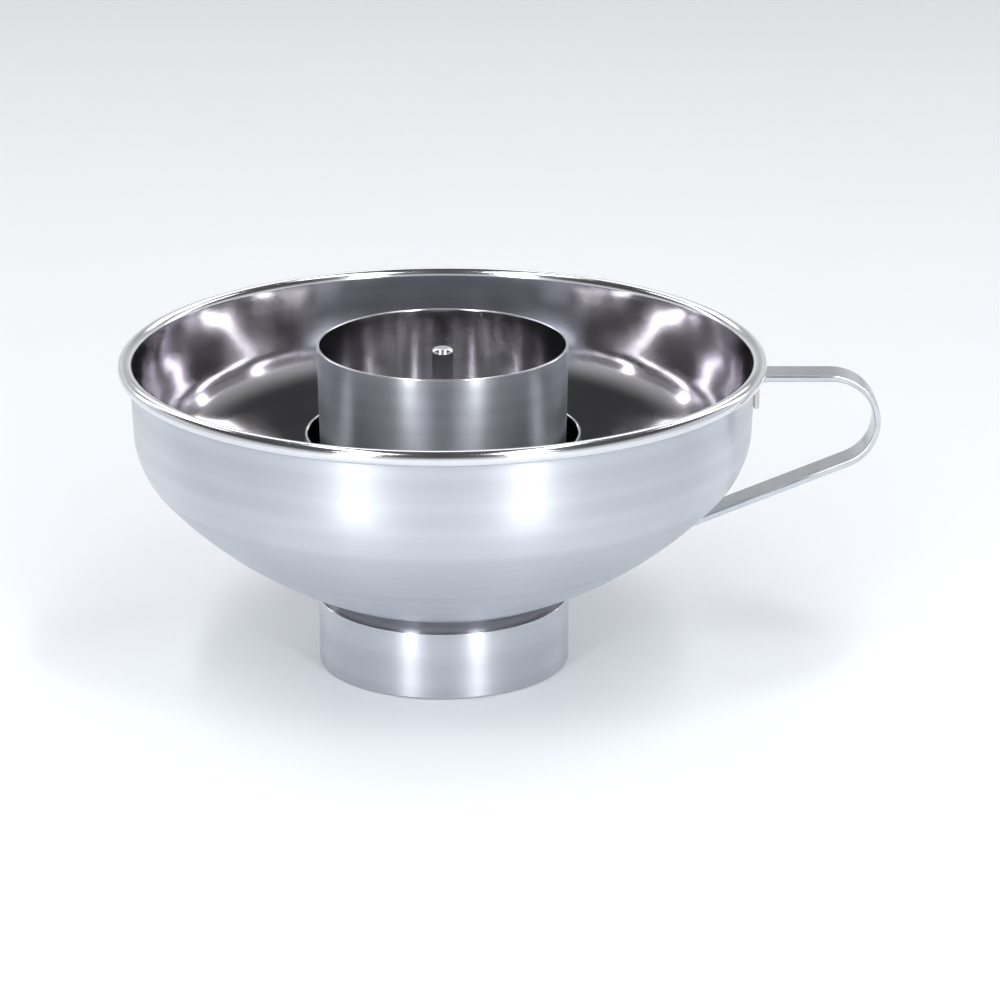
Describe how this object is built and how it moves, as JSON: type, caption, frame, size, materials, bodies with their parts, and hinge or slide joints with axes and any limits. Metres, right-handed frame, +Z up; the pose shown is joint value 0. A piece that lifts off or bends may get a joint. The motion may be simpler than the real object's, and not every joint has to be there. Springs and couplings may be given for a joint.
{
  "type": "canning funnel",
  "caption": "Wide steel canning funnel with a jar collar and strap handle, holding a middle funnel, a narrow funnel and a lift-out strainer.",
  "frame": {"origin": "on the common axis, at the foot of the jar collar, on the surface that the funnel stands on", "axes": "+Z up along the axis, towards the open bowl; +X towards the handle"},
  "size_m": [0.1645, 0.1398, 0.0715],
  "materials": {
    "bowl_steel": "satin outside, polished inside",
    "collar_steel": "satin",
    "handle_steel": "satin",
    "cup_steel": "satin outside, polished inside",
    "spout_steel": "satin",
    "strainer_steel": "polished",
    "post_steel": "polished"
  },
  "bodies": {
    "wide_funnel": {"wide_bowl": "bowl_steel", "jar_collar": "collar_steel", "handle_strap": "handle_steel"},
    "mid_funnel": {"mid_cup": "cup_steel", "mid_spout": "spout_steel"},
    "narrow_funnel": {"narrow_cup": "cup_steel", "narrow_tube": "spout_steel"},
    "strainer": {"strainer_disc": "strainer_steel", "strainer_washer": "post_steel", "strainer_post": "post_steel"}
  },
  "joints": [
    {"name": "mid_funnel_lift", "type": "slide", "parent": "wide_funnel", "child": "mid_funnel", "axis": [0, 0, 1], "range_m": [-0.008, 0.08]},
    {"name": "narrow_funnel_lift", "type": "slide", "parent": "mid_funnel", "child": "narrow_funnel", "axis": [0, 0, 1], "range_m": [-0.0201, 0.08]},
    {"name": "strainer_lift", "type": "slide", "parent": "narrow_funnel", "child": "strainer", "axis": [0, 0, 1], "range_m": [0, 0.026]}
  ]
}
